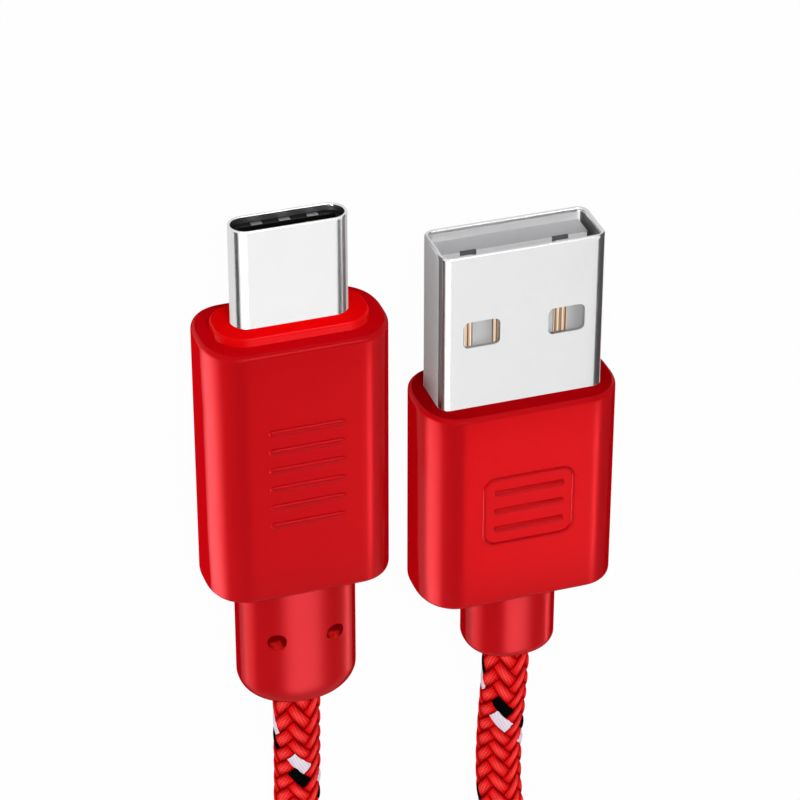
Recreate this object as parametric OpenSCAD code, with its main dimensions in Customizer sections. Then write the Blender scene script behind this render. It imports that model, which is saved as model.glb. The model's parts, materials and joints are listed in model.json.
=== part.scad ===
// Charging cable: a flat rectangular host plug and a small oval device plug on one braided cord.
// Both plugs lie broad side up along Y, mating ends towards -Y, with the cord leaving towards +Y.
// The origin is on the surface, at the middle of the two plugs taken without their cord.
// In each plug's own frame, y = 0 is where its steel shell comes out of the housing.

/* [Host plug] */
// Width of the steel shell, outside
host_shell_w = 12; // [11.6:0.1:12.8]
// Thickness of the steel shell, outside
host_shell_t = 4.5; // [4.3:0.1:5]
// Sheet thickness of the shell
host_sheet = 0.3; // [0.2:0.05:0.4]
// Length of shell outside the housing
host_reach = 12; // [11:0.1:14]
// Length of shell held in the housing
host_hold = 6.5; // [5:0.5:8]
// Width of each shell window
window_w = 2.6; // [2:0.1:3]
// Length of each shell window
window_l = 2; // [1.5:0.1:2.5]
// From the mating end to the middle of the windows
window_set = 6.2; // [5:0.1:7]
// Spacing of the two windows on one face
window_pitch = 6.2; // [5:0.1:7]
// Thickness of the contact tongue
tongue_t = 1.9; // [1.6:0.1:2.1]
// From the mating end to the end of the tongue
tongue_set = 0.9; // [0.3:0.1:1.2]
// Gap between the tongue and each side wall of the shell
tongue_side_gap = 0.3; // [0.1:0.05:0.4]
// Width of one contact
host_contact_w = 1; // [0.8:0.1:1.3]
// Thickness of one contact
host_contact_t = 0.3; // [0.2:0.05:0.4]
// Spacing of the two inner contacts
inner_pitch = 2; // [1.8:0.1:2.4]
// Spacing of the two outer contacts
outer_pitch = 7; // [6:0.1:7.4]
// Housing wall beside the shell
host_side_wall = 1.3; // [1:0.1:2.5]
// Housing wall above and below the shell
host_face_wall = 1.6; // [1.4:0.1:2.5]
// Length of the housing
host_body_l = 16; // [15:0.5:22]
// Length of cord held in the housing
host_cord_hold = 3; // [2.6:0.1:3.2]
// Width of the strain relief
host_boot_w = 6.8; // [5.8:0.1:8]
// Length of the strain relief
host_boot_l = 5.8; // [4:0.1:9]

/* [Device plug] */
// Width of the oval shell, outside
device_shell_w = 8.25; // [8:0.05:9]
// Thickness of the oval shell, outside
device_shell_t = 2.4; // [2.3:0.05:2.8]
// Sheet thickness of the oval shell
device_sheet = 0.2; // [0.15:0.05:0.25]
// Length of shell outside the housing
device_reach = 7.4; // [6.6:0.1:9]
// Length of shell held in the housing
device_hold = 5; // [4.6:0.1:6]
// Recess of the insulator behind the mating end
insulator_set = 0.5; // [0.3:0.1:0.9]
// Depth of the slot in the insulator
slot_l = 5.2; // [4.5:0.1:5.6]
// Width of the slot
slot_w = 6.8; // [6.4:0.1:7]
// Height of the slot, which is the board's thickness too
slot_h = 0.8; // [0.7:0.05:0.9]
// Number of contacts on each side of the slot
contact_count = 12; // [8:1:12]
// Spacing of those contacts
contact_pitch = 0.5; // [0.45:0.01:0.52]
// Width of one of those contacts
device_contact_w = 0.25; // [0.2:0.01:0.3]
// Thickness of one of those contacts
device_contact_t = 0.12; // [0.08:0.01:0.16]
// Spacing of the shield pads in the mouth
pad_pitch = 1.95; // [1.6:0.05:2.3]
// Width of one shield pad
pad_w = 0.75; // [0.5:0.05:0.9]
// Length of the circuit board
board_l = 7; // [6:0.1:8]
// Width of the collar round the shell
collar_w = 10.9; // [10.2:0.1:12]
// Thickness of the collar
collar_t = 5; // [4.6:0.1:5.6]
// Height of the collar
collar_h = 0.6; // [0.3:0.1:1.2]
// Depth to which the collar sits in the housing
collar_sink = 0.8; // [0.5:0.1:1.5]
// Corner radius of the collar
collar_r = 2.1; // [1.5:0.1:2.3]
// Ledge of the housing round the collar, at the sides
device_side_ledge = 1.2; // [0.8:0.1:2]
// Ledge of the housing round the collar, above and below
device_face_ledge = 1.35; // [1.1:0.05:2]
// Length of the housing behind the collar
device_body_l = 20; // [19.5:0.5:26]
// Length of cord held in that housing
device_cord_hold = 5.4; // [4.8:0.1:5.8]
// Width of the strain relief
device_boot_w = 8.7; // [7.4:0.1:9.5]
// Length of the strain relief
device_boot_l = 10.1; // [6:0.1:12]
// Diameter of the two blind holes in the strain relief
relief_hole_d = 1.3; // [0.8:0.1:1.6]
// Depth of those holes
relief_hole_depth = 1.1; // [0.6:0.1:1.3]
// Spacing of those holes
relief_hole_pitch = 4.3; // [3.4:0.1:4.8]
// From the housing to the middle of those holes
relief_hole_set = 4.5; // [2:0.1:5]

/* [Both plugs] */
// Gap between the housings
plug_gap = 2.2; // [1:0.1:6]
// How far the device shell's root lies ahead of the host's
plug_stagger = 8.6; // [0:0.1:12]
// Corner radius of the housings
corner_r = 2.8; // [1.5:0.1:3]
// Rounding of the housings' end edges
edge_r = 0.35; // [0.2:0.05:0.6]
// Height of the grip ribs and frame
grip_h = 0.2; // [0.1:0.05:0.4]
// Width of one grip rib
grip_w = 0.5; // [0.3:0.05:0.8]
// Spacing of the grip ribs
grip_pitch = 1.5; // [1.1:0.1:2.2]
// Thickness of the strain reliefs
relief_t = 6; // [5.4:0.1:6.6]
// Corner radius of a strain relief's section
relief_r = 2.7; // [1.8:0.1:2.7]
// Rounding of the end of a strain relief
relief_round = 1.6; // [0.8:0.1:1.7]
// Rounding of that end's upper and lower edges
relief_edge = 0.5; // [0.2:0.1:1]
// Clearance between pieces that seat in each other
seat_gap = 0.02; // [0.01:0.01:0.05]

/* [Cord] */
// Diameter of the cord over its braid
cord_d = 3.5; // [3:0.1:3.6]
// Whole length of the cord between the strain reliefs
cord_l = 1000; // [900:10:1100]
// Diameter of one insulated wire
wire_d = 0.7; // [0.5:0.05:0.8]
// Wall of the crimp ring
crimp_wall = 0.4; // [0.2:0.05:0.5]
// Sideways step between turns of the hank
turn_step = 4.2; // [4.1:0.1:5]
// Step up between layers of the hank
layer_step = 4; // [3.95:0.05:5]
// Radius of the innermost fold
fold_r = 10.8; // [10.5:0.1:14]
// How far the tie draws in each run
waist_in = 3; // [0:0.5:4]
// Width of the tie
tie_w = 8; // [5:0.5:9]
// Thickness of the tie
tie_t = 1; // [0.6:0.1:1.4]
// Clearance between the tie and the cord
tie_gap = 0.2; // [0.1:0.05:0.4]

/* [Hidden] */
$fn = 48;
cut = 1; // how far a cutting solid runs past the face it opens

// Host plug
host_w = host_shell_w + 2 * host_side_wall;
host_t = host_shell_t + 2 * host_face_wall;
host_in_w = host_shell_w - 2 * host_sheet;
host_in_t = host_shell_t - 2 * host_sheet;
host_shell_r = 0.8;
tongue_top = -host_in_t / 2 + tongue_t;
contact_sink = host_contact_t * 2 / 3;
groove_lead = 0.9;
tail_l = 2.5; // length of a contact's tail in the inner moulding
contact_tail = host_hold + tail_l;
host_wire_z = tongue_top - contact_sink + host_contact_t / 2;
wire_room = 2; // length over which the wires draw together
host_cord_start = host_body_l - host_cord_hold;
host_block_end = host_cord_start - wire_room;
crimp_d = cord_d + 2 * crimp_wall;
crimp_lead = 0.5; // bare cord ahead of a crimp ring
host_crimp_l = 2;
core_pitch = wire_d + 0.5; // spacing of the wires inside the cord

// Device plug
device_w = collar_w + 2 * device_side_ledge;
device_t = collar_t + 2 * device_face_ledge;
device_in_w = device_shell_w - 2 * device_sheet;
device_in_t = device_shell_t - 2 * device_sheet;
insulator_end = device_hold + 0.5;
slot_start = -device_reach + insulator_set;
slot_end = slot_start + slot_l;
latch_t = 0.15;
latch_arm = 0.2;
latch_arm_t = 0.6;
latch_plate_start = slot_end + 1;
board_start = insulator_end;
board_end = board_start + board_l;
board_w = slot_w + 0.4;
board_top = slot_h / 2 - seat_gap;
solder_l = 1.6; // length of wire laid on the board
device_spread = 0.8; // wire places there as a share of the host contacts'
device_wire_z = board_top + wire_d / 2;
chip_y = board_start + 2.6;
resistor = [1, 0.5, 0.36];
capacitor = [1.6, 0.8, 0.6];
pad_l = 1.2;
pad_t = 0.4;
pad_z = slot_h / 2 + 0.3;
can_wall = 0.15;
collar_edge_r = 0.15;
can_start = device_hold - 0.4;
can_end = board_end + 0.5;
can_w = device_shell_w + 0.6;
can_t = device_shell_t + 1.4;
block_wall = 0.8;
block_start = can_start - 0.6;
block_hold = 1.8; // length of cord in the inner moulding
device_body_end = collar_h + device_body_l;
device_cord_start = device_body_end - device_cord_hold;
block_end = device_cord_start + block_hold;
device_crimp_l = 4;
relief_face = relief_t / 2; // height of the strain relief's face

// Places of the plugs
plugs_w = host_w + plug_gap + device_w;
host_x = -plugs_w / 2 + host_w / 2;
device_x = plugs_w / 2 - device_w / 2;
host_back = host_body_l + host_boot_l;
device_back = device_body_end + device_boot_l;
plugs_front = min(-host_reach, -plug_stagger - device_reach);
plugs_rear = max(host_back, -plug_stagger + device_back);
host_y = -(plugs_front + plugs_rear) / 2;
device_y = host_y - plug_stagger;
host_z = host_t / 2;
device_z = device_t / 2;

// Hank: it starts low on the -X side and ends high on the +X side.
// Turns are counted from the start of the first run: a run, the far fold, a run back, the near fold.
run_share = 0.25;
hank_turns = 4.75;
first_in = 1.125; // turn at which the lowest layer has wound in
first_out = 2.125;
second_in = 3.125;
ring_count = 24; // rings to a turn
run_rings = 5; // of these along each run
fold_rings = ring_count / 2 - run_rings;
cord_r = cord_d / 2;
leads_l = 97.6; // both leads together
fold_mean = fold_r + turn_step * 0.6;
run_l = ((cord_l - leads_l) / hank_turns - 2 * PI * fold_mean) / 2;
hank_y = 61; // where the runs begin
waist_flat = 0.2; // share of a run's half that the tie holds straight
hump = tie_t + tie_gap;
climb_share = 0.6; // share of a run that a climb takes

// Distance from a point of the run's length to the middle, from 0 at the waist to 1 at a fold
function waist(y) =
  let(s = min(1, max(0, (abs(y) / (run_l / 2) - waist_flat) / (1 - waist_flat))))
  1 - s * s * (3 - 2 * s);
// Radius of the racetrack at turn t: in, out, in and out again at one rate
function spiral_r(t) =
  t < first_in ? fold_r + (first_in - t) * turn_step
  : t < first_out ? fold_r + (t - first_in) * turn_step
  : t < second_in ? fold_r + (second_in - t) * turn_step
  : fold_r + (t - second_in) * turn_step;
function smooth(s) = let(c = min(1, max(0, s))) c * c * (3 - 2 * c);
// Height in layers at turn t, with each climb along the run where the spiral turns back
function climb(t, at) = smooth((t - at) / (run_share * climb_share) + 0.5);
function layer(t) = climb(t, first_in) + climb(t, first_out) + climb(t, second_in);
function hank_point(t) =
  let(
    part = t - floor(t),
    r = spiral_r(t),
    side = part < 2 * run_share ? -1 : 1,
    on_run = part < run_share || (part >= 2 * run_share && part < 3 * run_share),
    along = (part - (part < 2 * run_share ? 0 : 2 * run_share)) / run_share,
    y = on_run ? -side * (along - 0.5) * run_l : 0,
    a = (along - 1) * 180,
    drawn = on_run ? waist(y) : 0,
    place = on_run
      ? [side * (r - waist_in * drawn), y]
      : [side * r * cos(a), -side * (run_l / 2 + r * sin(a))]
  )
  [place[0], hank_y + run_l / 2 + place[1], cord_r + layer(t) * layer_step + hump * drawn];
// Share of a turn at ring i, with more rings on the folds than on the runs
function ring_turn(i) =
  let(
    whole = floor(i / ring_count),
    rest = i - whole * ring_count,
    half = rest < ring_count / 2 ? 0 : 1,
    k = rest - half * ring_count / 2,
    share = k < run_rings ? k / run_rings * run_share : run_share + (k - run_rings) / fold_rings * run_share
  )
  whole + half * 2 * run_share + share;
hank_rings = floor(hank_turns) * ring_count + ring_count / 2 + run_rings;
hank_points = [for (i = [0:hank_rings]) hank_point(ring_turn(i))];
hank_in = hank_points[0];
hank_out = hank_points[hank_rings];

host_exit = [host_x, host_y + host_back, host_z];
device_exit = [device_x, device_y + device_back, device_z];
// Routes of the leads, from each strain relief to the hank
host_route = [
  host_exit, host_exit + [0, cord_d, -0.2], [-8, 28, 2.2], [-8.1, 34, cord_r], [-9, 40, cord_r],
  [-11.4, 46, cord_r], [-14, 51, cord_r], [hank_in[0] + 0.1, hank_y - 5, cord_r], hank_in
];
device_route = [
  device_exit, device_exit + [0, cord_d, -0.2], [8, 28, 2.2], [8, 33, cord_r], [8.8, 38, 2.6],
  [10.7, 43, 5], [13.2, 48, 8.4], [15.6, 52, 11.4], [17.1, hank_y - 5, 13.3], hank_out + [0, -1.5, 0], hank_out
];

// Tubes ---------------------------------------------------------------------
function unit(v) = v / norm(v);
function steps(p) = [for (i = [1:len(p) - 1]) norm(p[i] - p[i - 1])];
function sum(v, i = 0) = i < len(v) ? v[i] + sum(v, i + 1) : 0;
function tangent(p, i) =
  i == 0 ? unit(p[1] - p[0])
  : i == len(p) - 1 ? unit(p[i] - p[i - 1])
  : unit(unit(p[i] - p[i - 1]) + unit(p[i + 1] - p[i]));
function ring(p, i, r, sides) =
  let(t = tangent(p, i), side = unit(cross(t, [0, 0, 1])), up = cross(side, t))
  [for (k = [0:sides - 1]) p[i] + r * (cos((k + 0.5) * 360 / sides) * side + sin((k + 0.5) * 360 / sides) * up)];
// Closed tube along points p, with triangles only
module tube(p, r, sides) {
  rings = len(p);
  points = [for (i = [0:rings - 1]) each ring(p, i, r, sides)];
  walls = [
    for (i = [0:rings - 2], k = [0:sides - 1])
      let(a = i * sides + k, b = i * sides + (k + 1) % sides)
      each [[a, b, a + sides], [b, b + sides, a + sides]]
  ];
  near_cap = [for (k = [1:sides - 2]) [0, k + 1, k]];
  last = (rings - 1) * sides;
  far_cap = [for (k = [1:sides - 2]) [last, last + k, last + k + 1]];
  polyhedron(points, concat(walls, near_cap, far_cap));
}

// Least gap of the hank to itself, between points more than a third of a turn apart
fine = [for (i = [0:4 * ring_count * 4.75]) hank_point(i / (4 * ring_count))];
apart = 4 * ring_count / 3;
gaps = [for (i = [0:len(fine) - 1 - apart]) min([for (j = [i + apart:len(fine) - 1]) norm(fine[i] - fine[j])])];
echo(hank_gap_mm = min(gaps) - cord_d);
echo(cord_length_mm = sum(steps(host_route)) + sum(steps(hank_points)) + sum(steps(device_route)));
echo(hank_run_mm = run_l, hank_top_mm = max([for (q = hank_points) q[2]]) + cord_r);

// Shared shapes -------------------------------------------------------------
// Flat outline with round corners
module rounded(w, h, r) {
  square([w - 2 * r, h], center = true);
  square([w, h - 2 * r], center = true);
  for (x = [-1, 1], y = [-1, 1]) translate([x * (w / 2 - r), y * (h / 2 - r)]) circle(r);
}
// Oval outline with half-round ends
module oval(w, h) {
  square([w - h, h], center = true);
  for (x = [-1, 1]) translate([x * (w - h) / 2, 0]) circle(h / 2);
}
// Section in X and Z, drawn along Y from y0 to y1
module along(y0, y1) {
  translate([0, y1, 0]) rotate([90, 0, 0]) linear_extrude(y1 - y0) children();
}
// Box from y0 to y1, centred in X and Z
module bar(w, y0, y1, h) {
  translate([-w / 2, y0, -h / 2]) cube([w, y1 - y0, h]);
}
// Rod along Y
module rod(d, y0, y1) {
  translate([0, y0, 0]) rotate([-90, 0, 0]) cylinder(d = d, h = y1 - y0);
}
// Limits a solid to plan and side outlines whose ends are rounded by r0 at y0 and, at y1, by r1 in plan
// and by rt from the side
module end_rounding(w, t, y0, y1, r0, r1, rt) {
  intersection() {
    children();
    translate([0, 0, -t]) linear_extrude(2 * t) end_outline(w, y0, y1, r0, r1);
    rotate([90, 0, 90]) translate([0, 0, -w]) linear_extrude(2 * w)
      rotate(90) mirror([0, 1]) end_outline(t, y0, y1, r0, rt);
  }
}
// Rectangle w wide from y0 to y1 with the corners of each end rounded
module end_outline(w, y0, y1, r0, r1) {
  translate([-w / 2, y0 + r0]) square([w, y1 - y0 - r0 - r1]);
  translate([-w / 2 + r0, y0]) square([w - 2 * r0, r0]);
  translate([-w / 2 + r1, y1 - r1]) square([w - 2 * r1, r1]);
  for (s = [-1, 1]) {
    translate([s * (w / 2 - r0), y0 + r0]) circle(r0);
    translate([s * (w / 2 - r1), y1 - r1]) circle(r1);
  }
}
module at_host() { translate([host_x, host_y, host_z]) children(); }
module at_device() { translate([device_x, device_y, device_z]) children(); }

// Strain relief: a plain oval sleeve, rounded off at its end
module relief(w, y0, y1) {
  end_rounding(w, relief_t, y0, y1, 0.01, relief_round, relief_edge)
    along(y0, y1) rounded(w, relief_t, relief_r);
}

// Host plug -----------------------------------------------------------------
module windows() {
  for (s = [-1, 1]) translate([s * window_pitch / 2, -host_reach + window_set])
    rounded(window_w, window_l, 0.4);
}
module host_shell() color("lightgray") at_host() difference() {
  along(-host_reach, host_hold) difference() {
    rounded(host_shell_w, host_shell_t, host_shell_r);
    rounded(host_in_w, host_in_t, host_shell_r - host_sheet);
  }
  translate([0, 0, -host_shell_t]) linear_extrude(2 * host_shell_t) windows();
}
// Centres of the four contacts, from -X to +X
function contact_x(i) = [-outer_pitch, -inner_pitch, inner_pitch, outer_pitch][i] / 2;
// The two outer contacts reach further forward and mate first
function contact_front(i) = -host_reach + tongue_set + (i == 0 || i == 3 ? 1.2 : 2.2);
// The groove that holds a contact has a gap round it and runs on ahead of it
module contact_bar(i, gap = 0, lead = 0) {
  translate([contact_x(i), 0, tongue_top - contact_sink + host_contact_t / 2])
    bar(host_contact_w + 2 * gap, contact_front(i) - lead, contact_tail, host_contact_t + 2 * gap);
}
module host_tongue() color("dimgray") at_host() difference() {
  translate([0, 0, tongue_top - tongue_t / 2])
    along(-host_reach + tongue_set, host_hold) rounded(host_in_w - 2 * tongue_side_gap, tongue_t, 0.2);
  for (i = [0:3]) contact_bar(i, seat_gap, groove_lead);
}
module host_contact(i) color("goldenrod") at_host() contact_bar(i);
// Wires from the contacts' pitch at y0, straight to y1, then drawn together into the cord at y2
module wires(spread, y0, y1, y2, z) {
  for (i = [0:3])
    let(start = contact_x(i) * spread, x = sign(contact_x(i)) * core_pitch / 2, up = (i % 2 == 0 ? 1 : -1) * core_pitch / 2)
      tube([[start, y0, z], [start, y1, z], [x, y2 - wire_d / 2, up], [x, y2, up]], wire_d / 2, 12);
}
module host_block() color("ivory") at_host() difference() {
  along(host_hold + seat_gap, host_block_end) rounded(host_in_w, host_in_t, 0.5);
  for (i = [0:3]) {
    contact_bar(i, seat_gap);
    translate([contact_x(i), 0, host_wire_z]) rod(wire_d + 2 * seat_gap, contact_tail - cut / 2, host_block_end + cut);
  }
}
module host_wires() color("firebrick") at_host()
  wires(1, contact_tail + seat_gap, host_block_end, host_cord_start, host_wire_z);
module host_crimp() color("gray") at_host() difference() {
  rod(crimp_d, host_cord_start + crimp_lead, host_cord_start + crimp_lead + host_crimp_l);
  rod(cord_d + 2 * seat_gap, host_cord_start, host_back);
}
module host_cord_end() color("crimson") at_host() rod(cord_d, host_cord_start, host_back);
module host_housing() color("crimson") at_host() {
  difference() {
    end_rounding(host_w, host_t, 0, host_body_l, edge_r, edge_r, edge_r)
      along(0, host_body_l) rounded(host_w, host_t, corner_r);
    along(-cut, host_hold + seat_gap) rounded(host_shell_w + 2 * seat_gap, host_shell_t + 2 * seat_gap, host_shell_r);
    along(host_hold, host_block_end) rounded(host_in_w + 2 * seat_gap, host_in_t + 2 * seat_gap, 0.5);
    bar(outer_pitch + wire_d + 0.6, host_block_end - cut, host_cord_start + crimp_lead, cord_d + 0.2);
    rod(crimp_d + 2 * seat_gap, host_cord_start, host_body_l + cut);
  }
  translate([0, host_body_l / 2, host_t / 2 - 0.02]) host_grip();
}
// Shallow frame round three grip ribs
module host_grip() {
  ribs = [-grip_pitch, 0, grip_pitch];
  frame_l = 2 * grip_pitch + 3 * grip_w + 1.2;
  frame_w = frame_l + 1.2;
  linear_extrude(grip_h) {
    difference() {
      rounded(frame_w, frame_l, 0.9);
      rounded(frame_w - grip_w, frame_l - grip_w, 0.65);
    }
    for (y = ribs) translate([0, y]) oval(frame_w - 3.2 * grip_w, grip_w);
  }
}
module host_boot() color("crimson") at_host() difference() {
  relief(host_boot_w, host_body_l + seat_gap, host_back);
  rod(cord_d + 2 * seat_gap, host_body_l - cut, host_back + cut);
  rod(crimp_d + 2 * seat_gap, host_body_l - cut, host_cord_start + crimp_lead + host_crimp_l + seat_gap);
}

// Device plug ---------------------------------------------------------------
module device_shell() color("silver") at_device() along(-device_reach, device_hold) difference() {
  oval(device_shell_w, device_shell_t);
  oval(device_in_w, device_in_t);
}
module contact_row(side, gap = 0) {
  for (i = [0:contact_count - 1])
    translate([(i - (contact_count - 1) / 2) * contact_pitch, 0, side * (slot_h + device_contact_t) / 2])
      bar(device_contact_w + 2 * gap, slot_start + 0.7 - gap, board_start + 1.3, device_contact_t + 2 * gap);
}
module latch_shape(gap = 0) {
  bar(slot_w - 0.2 + 2 * gap, latch_plate_start - gap, insulator_end, latch_t + 2 * gap);
  for (s = [-1, 1]) translate([s * (slot_w / 2 - 0.1 - latch_arm / 2), 0, 0])
    bar(latch_arm + 2 * gap, slot_start + 0.9, latch_plate_start + latch_arm, latch_arm_t + 2 * gap);
}
module shield_pads(gap = 0) {
  for (x = [-1, 0, 1], z = [-1, 1]) translate([x * pad_pitch, 0, z * pad_z])
    bar(pad_w + 2 * gap, slot_start, slot_start + pad_l + gap, pad_t + 2 * gap);
}
module device_insulator() color("black") at_device() difference() {
  along(slot_start, insulator_end) oval(device_in_w - 2 * seat_gap, device_in_t - 2 * seat_gap);
  bar(slot_w, slot_start - cut, slot_end, slot_h);
  contact_row(1, seat_gap);
  contact_row(-1, seat_gap);
  latch_shape(seat_gap);
  translate([0, -0.01, 0]) shield_pads(seat_gap);
}
module device_contacts_upper() color("gold") at_device() contact_row(1);
module device_contacts_lower() color("gold") at_device() contact_row(-1);
module device_latch() color("silver") at_device() latch_shape();
module device_shield_pads() color("gray") at_device() shield_pads();
module device_board() color("darkgreen") at_device()
  bar(board_w, board_start + seat_gap, board_end, slot_h - 2 * seat_gap);
// Chip of the given size on the board, x from its middle
module chip(x, size) {
  translate([x, chip_y, board_top + size[2] / 2]) bar(size[0], -size[1] / 2, size[1] / 2, size[2]);
}
module device_resistor() color("black") at_device() chip(board_w / 4.5, resistor);
module device_capacitor() color("tan") at_device() chip(-board_w / 5, capacitor);
module device_can() color("gainsboro") at_device() difference() {
  along(can_start, can_end) rounded(can_w, can_t, 0.5);
  along(can_start + can_wall, can_end + cut) rounded(can_w - 2 * can_wall, can_t - 2 * can_wall, 0.35);
  along(can_start - cut, can_start + cut) oval(device_shell_w + 2 * seat_gap, device_shell_t + 2 * seat_gap);
}
module device_wires() color("firebrick") at_device()
  wires(device_spread, board_end - solder_l, can_end - 0.3, device_cord_start, device_wire_z);
module device_block_outline(gap = 0) {
  along(block_start - gap, block_end + gap)
    rounded(can_w + 2 * block_wall + 2 * gap, can_t + 2 * block_wall + 2 * gap, 1);
}
module device_block() color("ivory") at_device() difference() {
  device_block_outline();
  along(block_start - cut, can_start + cut) oval(device_shell_w + 2 * seat_gap, device_shell_t + 2 * seat_gap);
  along(can_start - seat_gap, can_end + seat_gap) rounded(can_w + 2 * seat_gap, can_t + 2 * seat_gap, 0.5);
  bar(can_w - 1.6, can_end - cut, device_cord_start + crimp_lead, can_t - 0.1);
  rod(crimp_d + 2 * seat_gap, device_cord_start, block_end + cut);
}
module device_crimp() color("gray") at_device() difference() {
  rod(crimp_d, device_cord_start + crimp_lead, device_cord_start + crimp_lead + device_crimp_l);
  rod(cord_d + 2 * seat_gap, device_cord_start, device_back);
}
module device_cord_end() color("crimson") at_device() rod(cord_d, device_cord_start, device_back);
module collar_outline(y0, y1, gap = 0) {
  along(y0, y1) rounded(collar_w + 2 * gap, collar_t + 2 * gap, collar_r + gap);
}
module device_collar() color("red") at_device() difference() {
  end_rounding(collar_w, collar_t, 0, collar_h + collar_sink, collar_edge_r, 0.01, 0.01)
    collar_outline(0, collar_h + collar_sink);
  along(-cut, collar_h + collar_sink + cut) oval(device_shell_w + 2 * seat_gap, device_shell_t + 2 * seat_gap);
}
module device_housing() color("crimson") at_device() {
  difference() {
    end_rounding(device_w, device_t, collar_h, device_body_end, edge_r, edge_r, edge_r)
      along(collar_h, device_body_end) rounded(device_w, device_t, corner_r);
    collar_outline(-cut, collar_h + collar_sink + seat_gap, seat_gap);
    along(collar_h, block_start) oval(device_shell_w + 2 * seat_gap, device_shell_t + 2 * seat_gap);
    device_block_outline(seat_gap);
    rod(crimp_d + 2 * seat_gap, device_cord_start, device_body_end + cut);
  }
  translate([0, collar_h + device_body_l / 2, device_t / 2 - 0.02]) device_grip();
}
// Six plain grip ribs across the housing
module device_grip() {
  linear_extrude(grip_h) for (i = [-2.5:2.5]) translate([0, i * grip_pitch]) oval(collar_w * 0.5, grip_w);
}
module device_boot() color("crimson") at_device() difference() {
  relief(device_boot_w, device_body_end + seat_gap, device_back);
  rod(cord_d + 2 * seat_gap, device_body_end - cut, device_back + cut);
  rod(crimp_d + 2 * seat_gap, device_body_end - cut, device_cord_start + crimp_lead + device_crimp_l + seat_gap);
  for (s = [-1, 1], face = [0, 180]) rotate([0, face, 0])
    translate([s * relief_hole_pitch / 2, device_body_end + relief_hole_set, relief_face - relief_hole_depth])
      cylinder(d = relief_hole_d, h = relief_t);
}

// Cord ----------------------------------------------------------------------
module host_cord_run() color("crimson") tube(host_route, cord_r, 8);
module device_cord_run() color("crimson") tube(device_route, cord_r, 8);
module cord_hank() color("crimson") tube(hank_points, cord_r, 6);
// Strap round the waist of the hank
module hank_tie() {
  tie_in_w = 2 * (fold_r + turn_step * 1.5 - waist_in + cord_r + tie_gap);
  tie_in_h = 3 * layer_step + cord_d + 2 * tie_gap;
  color("black") translate([0, hank_y + run_l / 2, tie_t + tie_in_h / 2]) along(-tie_w / 2, tie_w / 2)
    difference() {
      rounded(tie_in_w + 2 * tie_t, tie_in_h + 2 * tie_t, 2 + tie_t);
      rounded(tie_in_w, tie_in_h, 2);
    }
}

host_shell();
host_tongue();
host_contact(0);  // host_contact_1
host_contact(1);  // host_contact_2
host_contact(2);  // host_contact_3
host_contact(3);  // host_contact_4
host_block();
host_wires();
host_crimp();
host_cord_end();
host_housing();
host_boot();
device_shell();
device_insulator();
device_contacts_upper();
device_contacts_lower();
device_latch();
device_shield_pads();
device_board();
device_resistor();
device_capacitor();
device_can();
device_block();
device_wires();
device_crimp();
device_cord_end();
device_collar();
device_housing();
device_boot();
host_cord_run();
cord_hank();
device_cord_run();
hank_tie();
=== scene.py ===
"""Looks of a charging cable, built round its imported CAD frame.
Sizes are in millimetres until they become vertices, and angles in degrees until they are used."""
from functools import partial
import json
import math

import bmesh
import bpy
import numpy as np
from mathutils import Matrix, Vector

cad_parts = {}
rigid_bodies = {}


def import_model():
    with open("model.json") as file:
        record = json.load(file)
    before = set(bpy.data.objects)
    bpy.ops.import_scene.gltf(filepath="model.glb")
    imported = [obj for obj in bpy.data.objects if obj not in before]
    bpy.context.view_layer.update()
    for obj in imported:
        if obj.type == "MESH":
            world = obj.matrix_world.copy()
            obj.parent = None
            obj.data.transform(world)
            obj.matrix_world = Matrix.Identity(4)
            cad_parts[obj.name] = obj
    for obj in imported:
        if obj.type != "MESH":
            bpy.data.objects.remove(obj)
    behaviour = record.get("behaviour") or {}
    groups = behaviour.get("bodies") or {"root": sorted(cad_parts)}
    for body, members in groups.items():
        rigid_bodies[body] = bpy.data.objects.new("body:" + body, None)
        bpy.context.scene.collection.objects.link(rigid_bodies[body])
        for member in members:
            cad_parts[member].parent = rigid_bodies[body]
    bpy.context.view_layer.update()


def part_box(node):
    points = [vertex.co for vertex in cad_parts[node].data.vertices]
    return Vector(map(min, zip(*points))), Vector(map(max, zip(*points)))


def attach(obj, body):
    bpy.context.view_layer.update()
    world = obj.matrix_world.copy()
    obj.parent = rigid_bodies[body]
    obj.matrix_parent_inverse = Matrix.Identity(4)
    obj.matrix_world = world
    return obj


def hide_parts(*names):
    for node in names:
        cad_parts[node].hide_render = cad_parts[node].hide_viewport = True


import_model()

MM = 0.001

# ------ sizes from the frame, mm
def node_box(name):
    low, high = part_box(name)
    return np.array(low) / MM, np.array(high) / MM


def size_of(name):
    low, high = node_box(name)
    return high - low


host_low, host_high = node_box("host_housing")
device_low, device_high = node_box("device_housing")
host_shell_low, host_shell_high = node_box("host_shell")
collar_low, collar_high = node_box("device_collar")
host_boot_low, host_boot_high = node_box("host_boot")
device_boot_low, device_boot_high = node_box("device_boot")
tie_low, tie_high = node_box("hank_tie")
host_x = (host_low[0] + host_high[0]) / 2
device_x = (device_low[0] + device_high[0]) / 2
plug_z = (host_shell_low[2] + host_shell_high[2]) / 2
host_t = 2 * plug_z
grip_h = host_high[2] - host_t
CORNER_R = 2.8  # housings' corners, seen from the front
COLLAR_R = 2.1
SHELL_R = 0.8
EDGE_R = 0.35  # softening of the housings' ends
SEAT = 0.03  # clearance of a moulding round what it holds

# ------ camera
IMAGE_SIDE = 800
CAMERA_YAW = 18.4  # towards the device plug
CAMERA_TILT = 31.9  # from straight above towards the mating ends
CAMERA_DISTANCE = 234.6
FOCAL_PX = 3378.5
SENSOR_WIDTH = 36
CLIP = (0.005, 20)  # metres
TARGET = Vector((0.56, -3.28, 4.0))


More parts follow.
